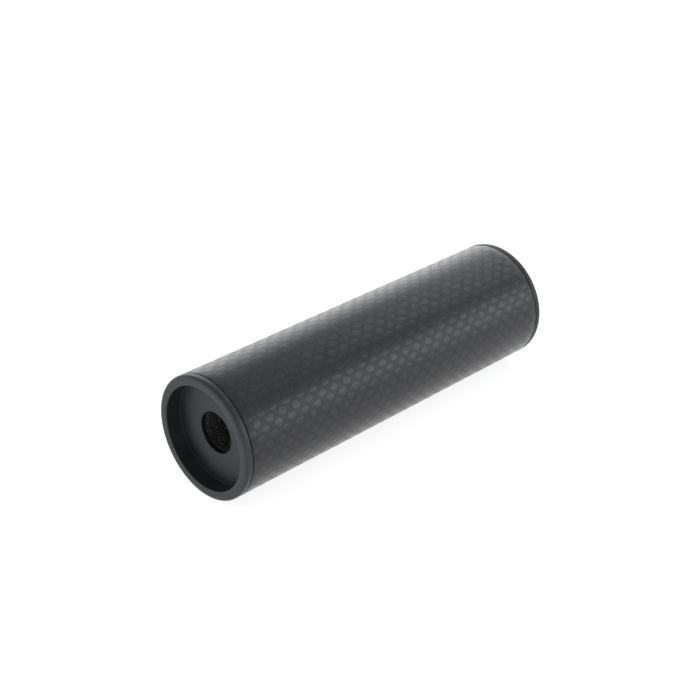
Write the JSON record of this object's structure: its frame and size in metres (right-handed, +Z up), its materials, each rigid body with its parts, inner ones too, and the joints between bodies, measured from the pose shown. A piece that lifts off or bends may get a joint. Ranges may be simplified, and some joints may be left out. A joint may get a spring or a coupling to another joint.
{
  "type": "foam filled carbon fibre tube",
  "caption": "Slim carbon-fibre display tube with screwed aluminium end caps, a recessed open front and a foam filling.",
  "frame": {"origin": "centre of the closed flat rear face", "axes": "Y is the tube's long axis and +Y is the rear face's outward normal, so the recessed front end faces -Y; +Z is up with the tube lying level"},
  "size_m": [0.033, 0.11, 0.033],
  "materials": {
    "carbon_weave": "satin",
    "bare_aluminium": "satin",
    "black_anodised": "satin",
    "seal_rubber": "matte",
    "black_foam": "matte"
  },
  "bodies": {
    "rear_end": {"rear_cap": "black_anodised"},
    "rear_seal": {"rear_o_ring": "seal_rubber"},
    "tube": {"outer_tube": "carbon_weave", "front_collar": "bare_aluminium", "rear_collar": "bare_aluminium", "foam_1": "black_foam", "foam_2": "black_foam", "foam_3": "black_foam", "foam_4": "black_foam", "foam_5": "black_foam"},
    "front_seal": {"front_o_ring": "seal_rubber"},
    "front_end": {"front_cap": "black_anodised"}
  },
  "joints": [
    {"name": "tube_travel", "type": "slide", "parent": "rear_end", "child": "rear_seal", "axis": [0, -1, 0], "range_m": [0, 0.008]},
    {"name": "tube_unscrew", "type": "hinge", "parent": "rear_seal", "child": "tube", "pos_m": [0, -0.002, 0], "axis": [0, -1, 0], "range_deg": [0, 2880]},
    {"name": "front_cap_travel", "type": "slide", "parent": "tube", "child": "front_seal", "axis": [0, -1, 0], "range_m": [0, 0.008]},
    {"name": "front_cap_unscrew", "type": "hinge", "parent": "front_seal", "child": "front_end", "pos_m": [0, -0.1081, 0], "axis": [0, -1, 0], "range_deg": [0, 2880]}
  ],
  "couplings": [
    {"joint": "tube_travel", "follows": "tube_unscrew", "m_per_rad": 0.00015915},
    {"joint": "front_cap_travel", "follows": "front_cap_unscrew", "m_per_rad": 0.00015915}
  ]
}
